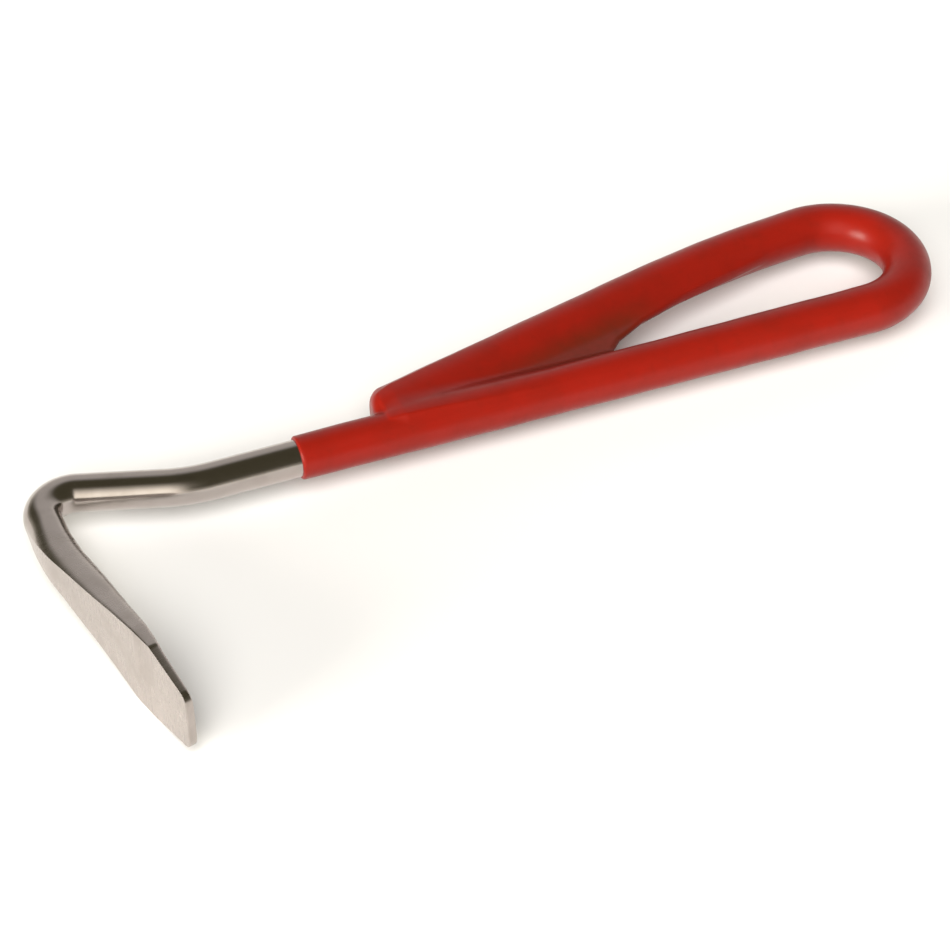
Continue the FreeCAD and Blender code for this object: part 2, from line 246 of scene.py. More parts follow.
def bent_path(rod, at):
    """Points of the centre line and unit vectors to its left, at distances along the whole rod.

    Distances are 0 where the shank meets the end bend, and negative round the loop.
    """
    side_points, side_headings = walk(0.0, handle_runs(rod), np.maximum(-at, 0))
    shank_points, shank_headings = walk(math.pi, hook_runs(rod), np.maximum(at, 0))
    points = np.where((at < 0)[:, None], side_points, shank_points)
    heading = np.where(at < 0, side_headings + math.pi, shank_headings)
    return points, np.stack([-np.sin(heading), np.cos(heading)], -1)


# ---------------------------------------------------------------- mesh helpers
def tube_faces(rings, around):
    """Faces of a grid of rings, closed round each ring and at both ends, all facing outwards.

    Ring i's point j has the number i * around + j. The last two numbers are the middles
    of the first and of the last ring.
    """
    ring, step = np.meshgrid(np.arange(rings - 1), np.arange(around), indexing="ij")
    following = (step + 1) % around
    sides = np.stack([ring * around + step, ring * around + following,
                      (ring + 1) * around + following, (ring + 1) * around + step], -1).reshape(-1, 4)
    edge = np.arange(around)
    after = (edge + 1) % around
    first_middle, last_middle = rings * around, rings * around + 1
    last_ring = (rings - 1) * around
    first_cap = np.stack([np.full(around, first_middle), after, edge], -1)
    last_cap = np.stack([np.full(around, last_middle), last_ring + edge, last_ring + after], -1)
    return sides, np.concatenate([first_cap, last_cap])


def new_mesh(name, points, quads, triangles=None):
    """Mesh from arrays of points, quads and triangles."""
    faces = quads.tolist() + ([] if triangles is None else triangles.tolist())
    mesh = bpy.data.meshes.new(name)
    mesh.from_pydata(points.reshape(-1, 3).tolist(), [], faces)
    mesh.update()
    return mesh


def tube_mesh(name, rod, plane, height):
    """Closed tube from rings of places in the rod's plane and heights over it, placed in the frame."""
    rings, around = height.shape
    points = np.concatenate([plane, height[..., None]], -1).reshape(-1, 3)
    first, last = points[:around].mean(0), points[-around:].mean(0)
    points = np.concatenate([points, [first, last]]) + np.array(bend_origin(rod))
    return new_mesh(name, points, *tube_faces(rings, around))


def finish_piece(name, mesh, material, node):
    """Object for a finished mesh: its material, its slot, the body it rides on and its CAD node."""
    piece = bpy.data.objects.new(name, mesh)
    bpy.context.scene.collection.objects.link(piece)
    mesh.materials.clear()
    mesh.materials.append(material)
    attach(piece, "root")
    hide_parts(node)
    return piece


def eased(stations, values, at, softness):
    """Straight lines between stations, averaged over a window so that their corners are soft."""
    step = 0.05 * MM
    count = max(3, int(softness / step) | 1)
    fine = np.arange(stations[0] - softness, stations[-1] + softness, step)
    raw = np.pad(np.interp(fine, stations, values), count // 2, mode="edge")
    window = np.hanning(count + 2)[1:-1]
    return np.interp(at, fine, np.convolve(raw, window / window.sum(), mode="valid"))


# ---------------------------------------------------------------- steel rod
# The forged hook, from the end of the bend to the tip, in millimetres: distance along it,
# thickness, width, depth of the arc behind its widest place, angle on that arc where the
# flat back cuts it off (degrees), how square the front is (2 is an ellipse), and how far
# the back stands off the plain rod's. The sides are trimmed from the shoulders to the tip.
FORGED = np.array([
    (-6.0, 6.35, 6.35, 3.175, 6.0, 2.0, 0.0),
    (1.0, 6.35, 6.35, 3.175, 6.0, 2.0, 0.0),
    (4.5, 6.35, 6.4, 3.15, 26.0, 2.05, -0.05),
    (8.5, 6.35, 6.4, 3.3, 47.0, 2.2, -0.3),
    (14.0, 5.95, 7.1, 3.8, 62.0, 2.6, -0.5),
    (20.0, 5.5, 8.7, 4.0, 71.0, 3.2, -0.45),
    (26.0, 4.7, 10.3, 3.7, 75.0, 4.0, -0.45),
    (32.0, 3.8, 12.7, 3.2, 78.0, 5.0, -0.4),
    (38.0, 3.2, 14.9, 2.5, 80.0, 6.0, -0.22),
    (43.2, 2.1, 15.3, 1.7, 82.0, 7.0, -0.35),
    (43.7, 1.85, 14.9, 0.6, 85.0, 9.0, -0.35),
    (54.7, 1.35, 10.6, 0.5, 85.0, 9.0, 0.1),
])
# Length over which each column is evened out, in the same order, in millimetres.
FORGED_SOFTNESS = (4.0, 0.8, 4.0, 4.0, 2.0, 4.0)
# Mesh steps from the middle of the flat back to each of its ridges.
FLAT_STEPS = 10
# Where the forged finish starts and is complete, in millimetres from the end of the bend.
FORGED_FINISH = (-4.0, 10.0)
END_BEVEL = 0.25 * MM


def hook_section(around, depth_back, depth_front, half_width, cut, square):
    """Offsets of a section: flat back, elliptic arcs up to its widest place, and a squarish front.

    Behind the widest place, at an angle t from straight back, the offset back is
    depth_back * cos(t) and the one across is half_width * sin(t); the flat joins the two
    points at the cut angle. The front is a superellipse, each of whose offsets is its
    half size times cos(t) or sin(t) to the power 2 / square. A fixed share of the points
    lies on the flat, so its two ridges run along the mesh.
    """
    step = np.minimum(np.arange(around), around - np.arange(around))[None, :]
    side = np.where(np.arange(around) <= around // 2, 1.0, -1.0)[None, :]
    past_cut = (step - FLAT_STEPS) / (around / 2 - FLAT_STEPS)
    turn = np.where(step <= FLAT_STEPS, cut, cut + (math.pi - cut) * past_cut)
    cosine, sine = np.cos(turn), np.sin(turn)
    behind = cosine > 0
    shape = 2 / square
    out = np.where(behind, depth_back * cosine, -depth_front * np.abs(cosine) ** shape)
    across = half_width * np.where(behind, sine, np.abs(sine) ** shape)
    across = across * np.minimum(step / FLAT_STEPS, 1)
    return out, side * across


def rod_stations(rod, tail, hook, forged_from):
    """Distances along the whole rod, negative towards the cut end, closer together where it is shaped."""
    tip = hook - forged_from
    before_kink, before_forging = rod.shank_length - 30 * MM, forged_from - 12 * MM
    shoulder_from, shoulder_to = 42.4 * MM, 44.4 * MM
    tip_round = 1.9 * MM
    return np.unique(np.concatenate([
        -tail + np.array([0, 0.1, 0.25, 0.4, 0.6]) * MM,
        np.linspace(-tail + 1 * MM, 0, 90),
        np.linspace(0, before_kink, 50),
        np.linspace(before_kink, before_forging, 70),
        np.linspace(before_forging, forged_from + shoulder_from, 180),
        forged_from + np.linspace(shoulder_from, shoulder_to, 24),
        forged_from + np.linspace(shoulder_to, tip - tip_round, 40),
        hook - tip_round * np.cos(np.linspace(0, math.pi / 2, 22)),
    ]))


def make_rod_mesh(rod, around=96):
    """One closed skin carried along the bent centre line, from the cut end to the chisel tip.

    At each station the section has the sizes that FORGED gives for the hook there, and its
    back stands off the outer side of the plain rod. Both ends are bevelled, and the tip's
    corners are rounded off the width by a circle.
    """
    hook = hook_runs(rod)
    tail_length = sum(run[0] for run in handle_runs(rod))
    hook_length = sum(run[0] for run in hook)
    forged_from = sum(run[0] for run in hook[:4])
    at = rod_stations(rod, tail_length, hook_length, forged_from)
    centre, left = bent_path(rod, at)

    along = at - forged_from
    stations = FORGED[:, 0] * MM
    columns = [eased(stations, FORGED[:, k + 1], along, FORGED_SOFTNESS[k] * MM) for k in range(6)]
    thickness, width, arc_depth, stand_off = (columns[k] * MM for k in (0, 1, 2, 5))
    cut, square = np.radians(columns[3]), columns[4]

    to_tip = np.clip(hook_length - at, 0, rod.tip_corner)
    rounding = rod.tip_corner - np.sqrt(np.maximum(rod.tip_corner ** 2 - (rod.tip_corner - to_tip) ** 2, 0))
    tail_bevel = np.clip(END_BEVEL - (at + tail_length), 0, END_BEVEL)
    tip_bevel = np.clip(END_BEVEL - (hook_length - at), 0, END_BEVEL)
    width = width - 2 * rounding - 2 * tail_bevel - tip_bevel
    thinning = 2 * tail_bevel + tip_bevel
    arc_depth = arc_depth - thinning * (arc_depth / thickness)
    thickness = thickness - thinning
    flat_depth = arc_depth * np.cos(cut)

    out, across = hook_section(around, arc_depth[:, None], (thickness - flat_depth)[:, None],
                               width[:, None] / 2, cut[:, None], square[:, None])
    back = centre - left * (rod.rod_radius + stand_off)[:, None]
    middle = back + left * (thinning / 2 + flat_depth)[:, None]
    plane = middle[:, None, :] - left[:, None, :] * out[..., None]
    mesh = tube_mesh("steel_rod_skin", rod, plane, -across)
    mesh.set_sharp_from_angle(angle=math.radians(38))
    forged = np.repeat(np.interp(along / MM, FORGED_FINISH, (0, 1)), around)
    store_values(mesh, "forged", np.concatenate([forged, [0, 1]]))
    store_rod_map(mesh, at, around, rod.rod_radius)
    return mesh


def store_values(mesh, name, values):
    """Number on each point of a mesh, for a material to read."""
    attribute = mesh.attributes.new(name, "FLOAT", "POINT")
    attribute.data.foreach_set("value", np.asarray(values, np.float32))


def store_rod_map(mesh, at, around, radius):
    """UV map in metres: along the rod, and round it."""
    rings = len(at)
    ring, step = np.meshgrid(np.arange(rings - 1), np.arange(around), indexing="ij")
    girth = 2 * math.pi * radius / around
    u = np.stack([at[ring], at[ring], at[ring + 1], at[ring + 1]], -1)
    v = np.stack([step, step + 1, step + 1, step], -1) * girth
    sides = np.stack([u, v], -1).reshape(-1, 2)
    caps = np.zeros((2 * around * 3, 2))
    caps[:around * 3, 0] = at[0]
    caps[around * 3:, 0] = at[-1]
    layer = mesh.uv_layers.new(name="along_rod")
    layer.uv.foreach_set("vector", np.concatenate([sides, caps]).astype(np.float32).ravel())


# ---------------------------------------------------------------- vinyl coat
def round_join(a, b, radius):
    """Union of two distances, with a hollow of a radius where they meet."""
    hollow = np.hypot(np.maximum(radius - a, 0), np.maximum(radius - b, 0))
    return np.maximum(radius, np.minimum(a, b)) - hollow


def round_trim(a, b, radius):
    """Part common to two distances, with its outer corner rounded to a radius."""
    corner = np.hypot(np.maximum(radius + a, 0), np.maximum(radius + b, 0))
    return np.minimum(-radius, np.maximum(a, b)) + corner


# Free edge of the web in the crotch: how far across from the shank (0) to the returning
# side (1), and how far back from the end bend, in millimetres. It slants forward from the
# shank, and runs out along the returning side as a bead.
WEB_EDGE_ACROSS = (0.0, 0.25, 0.39, 0.5, 0.638, 0.73, 0.79, 0.83, 1.0)
WEB_EDGE_BACK = (-47.0, -46.5, -45.0, -43.0, -37.0, -28.0, -16.0, -9.0, -9.0)
# Half thickness of the web against distance back from the end bend, in millimetres.
WEB_BACK = (-88.0, -80.0, -70.0, -60.0, -50.0, -40.0)
WEB_HALF = (3.3, 2.9, 1.9, 1.1, 0.7, 0.6)


# Rounding of the web's edge, and how far its root stops short of the coat's end, in millimetres.
WEB_EDGE_ROUND = 1.0
WEB_ROOT_BACK = 2.0
# The web's edge runs aslant, so it is nearer than it is along X, in about this proportion.
WEB_EDGE_SLANT = 0.7
# The crotch's hollow has at least this radius. It grows to its full radius, and shrinks by
# a share again at the cap, between these distances back from the end bend, in millimetres.
HOLLOW_LEAST = 0.05
HOLLOW_GROWS = (4.0, 24.0)
HOLLOW_SHRINKS = (86.0, 90.0)
HOLLOW_SHRINKS_BY = 0.75
# Height of the slow unevenness of the coat, in millimetres.
SWELL = 0.06
# A distance that is further than any real one, in millimetres.
FAR_AWAY = 1e3


def coat_field(rod, grip):
    """Signed distance to the coat's outer skin, in millimetres, as a function of points.

    The coat stands off the rod's centre line by its radius. Where the two sides of the
    loop come together their coats join in a hollow fillet, over a web between them. The
    fillet's radius grows from next to nothing at the end bend to its full size along the
    sides, and is small again at the end cap.
    """
    bend = rod.loop_bend_radius / MM
    bow = rod.side_bow_radius / MM
    bow_from = rod.loop_bend_turn - math.pi / 2
    bow_to = bow_from + rod.side_bow_turn
    bow_centre = np.array([math.cos(bow_from) * (bend - bow), bend + math.sin(bow_from) * (bend - bow)])
    side_from = bow_centre + bow * np.array([math.cos(bow_to), math.sin(bow_to)])
    side_way = np.array([-math.sin(bow_to), math.cos(bow_to)])
    side_out = np.array([math.cos(bow_to), math.sin(bow_to)])
    side_end = (rod.side_run + grip.cap) / MM
    cap_at = side_from + side_way * side_end
    cap_way = np.array([math.cos(bow_to + math.pi / 2 - grip.cap_tilt),
                        math.sin(bow_to + math.pi / 2 - grip.cap_tilt)])
    cover = grip.cover / MM
    edge, loop, tail = grip.edge_radius / MM, grip.loop_radius / MM, grip.tail_radius / MM
    fillet = grip.crotch_fillet / MM

    def field(points):
        x, y, z = points[..., 0], points[..., 1], points[..., 2]
        loop_gap = np.hypot(x, y - bend) - bend

        shank_gap = np.where(x > 0, loop_gap, y)
        near_radius = edge + (loop - edge) * np.clip((x + cover) / cover, 0, 1)
        near = np.hypot(shank_gap, z) - near_radius
        near = round_trim(near, -cover - x, grip.edge_round / MM)
        near = np.where((x > 0) & (y > bend), FAR_AWAY, near)

        from_bow = np.stack([x - bow_centre[0], y - bow_centre[1]], -1)
        bow_angle = np.arctan2(from_bow[..., 1], from_bow[..., 0])
        bow_gap = np.hypot(from_bow[..., 0], from_bow[..., 1]) - bow
        run = (x - side_from[0]) * side_way[0] + (y - side_from[1]) * side_way[1]
        side_gap = (x - side_from[0]) * side_out[0] + (y - side_from[1]) * side_out[1]
        far_gap = np.where(bow_angle > bow_to, side_gap, bow_gap)
        at_end = np.arctan2(y - bend, x) < bow_from
        far_gap = np.where(at_end & (y > bend), loop_gap, far_gap)
        far_radius = loop + (tail - loop) * np.clip(run / side_end, 0, 1)
        far = np.hypot(far_gap, z) - far_radius
        past = (x - cap_at[0]) * cap_way[0] + (y - cap_at[1]) * cap_way[1]
        far = round_trim(far, past, grip.cap_round / MM)
        far = np.where((y < bend) & (x > -1), FAR_AWAY, far)

        side_y = side_from[1] + (x - side_from[0]) * side_way[1] / side_way[0]
        bow_y = bow_centre[1] + np.sqrt(np.maximum(bow ** 2 - (x - bow_centre[0]) ** 2, 0))
        far_y = np.where(x < side_from[0], side_y, bow_y)
        across = y / np.maximum(far_y, 1)
        web_half = np.interp(x, WEB_BACK, WEB_HALF)
        web_side = np.maximum(-y, y - far_y)
        web_edge = WEB_EDGE_SLANT * (x - np.interp(across, WEB_EDGE_ACROSS, WEB_EDGE_BACK))
        web_end = side_from[0] + side_way[0] * (side_end - WEB_ROOT_BACK) - x
        web = round_trim(np.abs(z) - web_half, web_edge, WEB_EDGE_ROUND)
        web = np.maximum(np.maximum(web, web_side), web_end)

        crotch = np.interp(-x, HOLLOW_GROWS, (0, 1))
        at_cap = np.interp(-x, HOLLOW_SHRINKS, (0, 1))
        share = crotch * crotch * (3 - 2 * crotch) * (1 - HOLLOW_SHRINKS_BY * at_cap)
        reach = HOLLOW_LEAST + (fillet - HOLLOW_LEAST) * share
        skin = round_join(round_join(near, web, reach), far, reach)
        swell = np.sin(x * 0.31 + 0.7) * np.sin(y * 0.27 + x * 0.11 + 1.3) * np.cos(z * 0.23 + x * 0.17)
        return skin - SWELL * swell
    return field


def surface_net(field, low, high, cell):
    """Quads of the surface where a field is zero, from its values on a grid.

    Every grid cell that the surface passes through gets one point, the mean of where the
    field crosses zero on the cell's edges. Every grid edge that it crosses gets the quad
    of the four cells round it, turned to face the positive side.
    """
    axes = [np.arange(low[k], high[k] + cell, cell) for k in range(3)]
    grid = np.stack(np.meshgrid(*axes, indexing="ij"), -1)
    value = field(grid)
    cells = tuple(count - 1 for count in value.shape)
    total = np.zeros(cells + (3,))
    hits = np.zeros(cells)
    crossings = []
    for axis in range(3):
        start = np.take(value, range(value.shape[axis] - 1), axis)
        end = np.take(value, range(1, value.shape[axis]), axis)
        crossed = (start < 0) != (end < 0)
        fraction = np.where(crossed, start / np.where(crossed, start - end, 1), 0)
        place = np.take(grid, range(value.shape[axis] - 1), axis).copy()
        place[..., axis] += fraction * cell
        place *= crossed[..., None]
        others = [k for k in range(3) if k != axis]
        for first in (0, 1):
            for second in (0, 1):
                part = [slice(None)] * 3
                part[others[0]] = slice(first, first + cells[others[0]])
                part[others[1]] = slice(second, second + cells[others[1]])
                total += place[tuple(part)]
                hits += crossed[tuple(part)]
        crossings.append((crossed, start < 0))
    number = np.full(cells, -1)
    used = hits > 0
    number[used] = np.arange(used.sum())
    points = total[used] / hits[used][:, None]

    quads = []
    for axis, (crossed, inside_first) in enumerate(crossings):
        second, third = (axis + 1) % 3, (axis + 2) % 3
        index = np.stack(np.nonzero(crossed), -1)
        corners = []
        for back_second, back_third in ((1, 1), (0, 1), (0, 0), (1, 0)):
            corner = index.copy()
            corner[:, second] -= back_second
            corner[:, third] -= back_third
            corners.append(number[tuple(corner.T)])
        quad = np.stack(corners, -1)
        outward = inside_first[crossed]
        quads.append(np.where(outward[:, None], quad, quad[:, ::-1]))
    return points, np.concatenate(quads)


def settle(points, quads, field, rounds=4, nudge=0.02):
    """Evens out a net's points and puts them back on the surface.

    Each round moves every point half way to the mean of its neighbours, then twice down
    the field's slope to where the field is zero. The last round leaves out the first step.
    """
    first = quads.ravel()
    second = np.roll(quads, -1, 1).ravel()
    count = np.bincount(first, minlength=len(points)) + np.bincount(second, minlength=len(points))
    for step in range(rounds + 1):
        if step < rounds:
            sums = np.stack([np.bincount(first, points[second, k], len(points))
                             + np.bincount(second, points[first, k], len(points)) for k in range(3)], -1)
            points = 0.5 * points + 0.5 * sums / count[:, None]
        for _ in range(2):
            slope = np.stack([(field(points + shift) - field(points - shift)) / (2 * nudge)
                              for shift in np.eye(3) * nudge], -1)
            steepness = np.maximum((slope ** 2).sum(-1), 0.2)
            points = points - slope * (field(points) / steepness)[:, None]
    return points


def make_bore_mesh(rod, grip, around=48):
    """Plain round rod to cut the coat's bore, running out past the coat's edge."""
    tail_length = sum(run[0] for run in handle_runs(rod))
    past_edge, slack = 3 * MM, 0.01 * MM
    at = np.concatenate([np.linspace(-tail_length, 0, 150), np.linspace(0, grip.cover + past_edge, 40)[1:]])
    centre, left = bent_path(rod, at)
    turn = np.linspace(0, 2 * math.pi, around, endpoint=False)
    radius = rod.rod_radius - slack
    plane = centre[:, None, :] + left[:, None, :] * (radius * np.cos(turn))[None, :, None]
    height = np.broadcast_to(radius * np.sin(turn), plane.shape[:2])
    return tube_mesh("bore", rod, plane, height)


def cut_bore(mesh, bore_mesh):
    """Coat's mesh with the rod's bore cut out of it."""
    coat = bpy.data.objects.new("coat", mesh)
    bore = bpy.data.objects.new("bore", bore_mesh)
    for item in (coat, bore):
        bpy.context.scene.collection.objects.link(item)
    cut = coat.modifiers.new("bore", "BOOLEAN")
    cut.operation = "DIFFERENCE"
    cut.solver = "EXACT"
    cut.object = bore
    graph = bpy.context.evaluated_depsgraph_get()
    result = bpy.data.meshes.new_from_object(coat.evaluated_get(graph))
    for item in (coat, bore):
        bpy.data.objects.remove(item)
    return result


def crotch_depth(mesh, rod):
    """How deep each point of the coat lies in the crotch, 0 to 1, for the painted shade there.

    It is the product of straight ramps, in millimetres: down from the coat's top towards
    its middle plane, in from each of the two sides, and along from the cut end of the rod
    to the free edge of the web.
    """
    place = np.empty(len(mesh.vertices) * 3, np.float32)
    mesh.vertices.foreach_get("co", place)
    place = (place.reshape(-1, 3) - np.array(bend_origin(rod))) / MM
    x, y, z = place.T
    sunk = np.clip((3.0 - np.abs(z)) / 2.2, 0, 1)
    far_y = np.interp(x, (-86.0, -33.0, -20.0), (6.5, 20.0, 23.5))
    between = np.clip((y - 0.8) / 1.6, 0, 1) * np.clip((far_y - 1.0 - y) / 1.5, 0, 1)
    reach = np.clip((x + 80) / 22, 0, 1) * np.clip((-33 - x) / 8, 0, 1)
    return sunk * between * reach


def make_coat_mesh(rod, grip):
    """Closed skin of the coat, worked out from its distance field, with the rod's bore in it."""
    field = coat_field(rod, grip)
    margin = 1.0
    reach = grip.loop_radius / MM
    bend = rod.loop_bend_radius / MM
    low = (-grip.cover / MM - margin, -reach - margin, -reach - margin)
    high = (bend + reach + margin, 2 * bend + reach + margin, reach + margin)
    points, quads = surface_net(field, low, high, grip.cell / MM)
    points = settle(points, quads, field)
    mesh = new_mesh("coat_skin", points * MM + np.array(bend_origin(rod)), quads)
    mesh = cut_bore(mesh, make_bore_mesh(rod, grip))
    mesh.set_sharp_from_angle(angle=math.radians(60))
    # Depth in the crotch, which the coat's material turns into painted shade.
    store_values(mesh, "hollow", crotch_depth(mesh, rod))
    return mesh


# ---------------------------------------------------------------- shader arithmetic
class Value:
    """One shader socket, with arithmetic that adds Math nodes."""

    def __init__(self, graph, socket):
        self.graph = graph
        self.socket = socket

    def __add__(self, other):
        return self.graph.math("ADD", self, other)

    __radd__ = __add__

    def __sub__(self, other):
        return self.graph.math("SUBTRACT", self, other)

    def __rsub__(self, other):
        return self.graph.math("SUBTRACT", other, self)

    def __mul__(self, other):
        return self.graph.math("MULTIPLY", self, other)

    __rmul__ = __mul__

    def clamped(self):
        """The value held between 0 and 1."""
        return self.graph.node("ShaderNodeClamp", {}, {"Value": self})

    def between(self, low, high):
        """0 below low, 1 above high, smooth between."""
        return self.graph.node("ShaderNodeMapRange", {"interpolation_type": "SMOOTHSTEP"},
                               {"Value": self, "From Min": low, "From Max": high})


class Graph:
    """Node tree of one material or world."""

    def __init__(self, owner):
        owner.use_nodes = True
        self.tree = owner.node_tree
        self.tree.nodes.clear()

    def node(self, kind, settings, inputs, output=0):
        """Adds a node, sets it up, feeds its sockets and returns one of its outputs."""
        node = self.tree.nodes.new(kind)
        for name, setting in settings.items():
            setattr(node, name, setting)
        for name, item in inputs.items():
            socket = node.inputs[name]
            if isinstance(item, Value):
                self.tree.links.new(item.socket, socket)
            elif hasattr(item, "__len__") and len(item) == 3 and socket.type == "RGBA":
                socket.default_value = (*item, 1.0)
            else:
                socket.default_value = item
        return Value(self, node.outputs[output])

    def math(self, operation, first, second):
        """Math node on two values or numbers."""
        return self.node("ShaderNodeMath", {"operation": operation}, {0: first, 1: second})

    def mix(self, amount, first, second):
        """Colour between two others."""
        return self.node("ShaderNodeMix", {"data_type": "RGBA"}, {0: amount, 6: first, 7: second}, 2)

    def noise(self, where, feature, detail=2.0, roughness=0.5):
        """Noise whose features are about a given length across."""
        return self.node("ShaderNodeTexNoise", {},
                         {"Vector": where, "Scale": 1 / feature, "Detail": detail, "Roughness": roughness})

    def output(self, shader, kind="ShaderNodeOutputMaterial"):
        """Ends the tree in a surface."""
        end = self.tree.nodes.new(kind)
        self.tree.links.new(shader.socket, end.inputs["Surface"])


# ---------------------------------------------------------------- materials
def steel_material(finish):
    """Bright nickel plate: polished on the shank, satin and faintly clouded on the forged blade.

    Draw marks run along the rod, and grinding marks run across the forged part.
    """
    material = bpy.data.materials.new("plated_steel")
    graph = Graph(material)
    place = graph.node("ShaderNodeTexCoord", {}, {}, "Object")
    forged = graph.node("ShaderNodeAttribute", {"attribute_name": "forged"}, {}, "Fac")
    rod_map = graph.node("ShaderNodeUVMap", {"uv_map": "along_rod"}, {})
    drawn = graph.node("ShaderNodeMapping", {}, {"Vector": rod_map, "Scale": (0.03, 1.0, 1.0)})
    ground = graph.node("ShaderNodeMapping", {}, {"Vector": rod_map, "Scale": (1.0, 0.05, 1.0)})
    draw_marks = graph.noise(drawn, 0.25 * MM, 3.0)
    grind_marks = graph.noise(ground, 0.35 * MM, 3.0)
    clouds = graph.noise(place, 5 * MM, 3.0, 0.55)
    specks = graph.noise(place, 0.6 * MM, 2.0, 0.6)

    dull = (clouds.between(0.45, 0.75) * 0.5 + specks.between(0.55, 0.8) * 0.25 * forged).clamped()
    tint = graph.mix(dull, tuple(finish.steel), tuple(finish.steel_dull))
    gloss = (forged * (finish.forged_roughness - finish.steel_roughness) + finish.steel_roughness
             + (clouds - 0.5) * 0.10 + (draw_marks - 0.5) * 0.08 * (1 - forged)
             + (grind_marks - 0.5) * 0.14 * forged).clamped()
    height = draw_marks * (1 - forged) * 0.4 + grind_marks * forged * 0.5 + specks * 0.3 + clouds * 2.0
    bump = graph.node("ShaderNodeBump", {}, {"Strength": 0.35, "Distance": 0.02 * MM, "Height": height})
    graph.output(graph.node("ShaderNodeBsdfPrincipled", {}, {
        "Base Color": tint, "Metallic": 1.0, "Roughness": gloss, "Normal": bump}))
    return material


def vinyl_material(finish):
    """Dipped vinyl: soft gloss over a slightly uneven skin, clouded red, with painted shade darkening the
    crotch.
    """
    material = bpy.data.materials.new("red_vinyl")
    graph = Graph(material)
    place = graph.node("ShaderNodeTexCoord", {}, {}, "Object")
    clouds = graph.noise(place, 7 * MM, 3.0, 0.55)
    mottle = graph.noise(place, 1.3 * MM, 3.0, 0.6)
    peel = graph.noise(place, 0.8 * MM, 1.0, 0.5)
    ripple = graph.noise(place, 3.2 * MM, 1.0, 0.4)

    depth = (clouds.between(0.35, 0.75) * 0.55 + mottle.between(0.45, 0.8) * 0.30).clamped()
    clean = graph.mix(depth, tuple(finish.vinyl), tuple(finish.vinyl_deep))
    crotch_shade = graph.node("ShaderNodeAttribute", {"attribute_name": "hollow"}, {}, "Fac")
    # Painted shade: deep in the crotch the red is mixed towards dark brown, where shade falls.
    tint = graph.mix(crotch_shade * (0.45 + mottle * 0.4).clamped(), clean, tuple(finish.crotch_shade))
    gloss = ((clouds - 0.5) * 0.16 + (mottle - 0.5) * 0.18 + finish.vinyl_roughness).clamped()
    height = peel * 0.12 + mottle * 0.4 + ripple * 1.4
    bump = graph.node("ShaderNodeBump", {}, {"Strength": 0.4, "Distance": 0.06 * MM, "Height": height})
    graph.output(graph.node("ShaderNodeBsdfPrincipled", {}, {
        "Base Color": tint, "Roughness": gloss, "Specular IOR Level": finish.vinyl_specular,
        "Normal": bump}))
    return material


def floor_material(stage):
    """Pale matt floor with the faintest mottling."""
    material = bpy.data.materials.new("studio_floor")
    graph = Graph(material)
    place = graph.node("ShaderNodeTexCoord", {}, {}, "Object")
    cloud = graph.noise(place, 60 * MM, 2.0)
    tint = graph.mix(cloud * 0.1, tuple(stage.floor), (0.8, 0.8, 0.8))
    graph.output(graph.node("ShaderNodeBsdfPrincipled", {}, {
        "Base Color": tint, "Roughness": 0.9, "Specular IOR Level": 0.1}))
    return material


# ---------------------------------------------------------------- studio
# Windows: middle, half size and softness of the edges, each as azimuth and elevation.
FRONT_WINDOW = np.radians([(-26, 12), (15, 34), (7, 28)]).tolist()
LEFT_WINDOW = np.radians([(-74, 9), (12, 14), (4, 5)]).tolist()
WINDOW_TINT = (1.0, 0.96, 0.86)
# Elevations between which the glow at floor level fades out.
HORIZON_GLOW = (math.radians(-2), math.radians(20))
# Soft main light: azimuth, elevation and how wide it looks from the tool.
SOFT_LIGHT = (math.radians(-24), math.radians(48), math.radians(46))
SOFT_LIGHT_TINT = (1.0, 0.985, 0.965)
FLOOR_RADIUS = 3.0
FLOOR_GAP = 0.02 * MM


def soft_window(graph, way, centre, half_size, softness):
    """1 inside a soft-edged patch of sky, 0 outside: a product of smooth steps in azimuth and elevation."""
    azimuth, elevation = way
    across = graph.math("ABSOLUTE", azimuth - centre[0], 0.0)
    above = graph.math("ABSOLUTE", elevation - centre[1], 0.0)
    return ((1 - across.between(half_size[0] - softness[0], half_size[0] + softness[0]))
            * (1 - above.between(half_size[1] - softness[1], half_size[1] + softness[1])))


def make_world(stage):
    """Dim olive room, lighter low behind the tool and at floor level, with two soft windows."""
    world = bpy.data.worlds.new("studio")
    bpy.context.scene.world = world
    graph = Graph(world)
    way = graph.node("ShaderNodeTexCoord", {}, {})
    parts = graph.tree.nodes.new("ShaderNodeSeparateXYZ")
    graph.tree.links.new(way.socket, parts.inputs[0])
    side, back, up = (Value(graph, parts.outputs[k]) for k in range(3))
    azimuth = graph.math("ARCTAN2", side, 0 - back)
    elevation = graph.math("ARCSINE", up, 0.0)
    low_behind = (back - up * 0.85).between(-0.5, 0.15) * side.between(-0.4, -0.02)
    room = graph.mix(low_behind, tuple(stage.room), tuple(stage.room_behind))
    front = soft_window(graph, (azimuth, elevation), *FRONT_WINDOW)
    left = soft_window(graph, (azimuth, elevation), *LEFT_WINDOW)
    horizon = 1 - elevation.between(*HORIZON_GLOW)
    glow = front * stage.front_window + left * stage.left_window + horizon * stage.horizon
    tint = graph.node("ShaderNodeVectorMath", {"operation": "SCALE"}, {0: WINDOW_TINT, "Scale": glow})
    total = graph.node("ShaderNodeVectorMath", {"operation": "ADD"}, {0: room, 1: tint})
    graph.output(graph.node("ShaderNodeBackground", {}, {"Color": total, "Strength": 1.0}),
                 "ShaderNodeOutputWorld")


def add_soft_light(aim, strength):
    """Wide soft light from a direction that leaves no highlight of its own."""
    azimuth, elevation, spread = SOFT_LIGHT
    lamp = bpy.data.lights.new("studio_light", "SUN")
    lamp.angle = spread
    lamp.energy = strength
    lamp.color = SOFT_LIGHT_TINT
    light = bpy.data.objects.new("studio_light", lamp)
    bpy.context.scene.collection.objects.link(light)
    way = direction(azimuth, elevation)
    light.location = aim + way
    light.rotation_euler = (-way).to_track_quat("-Z", "Y").to_euler()
    light.visible_glossy = False


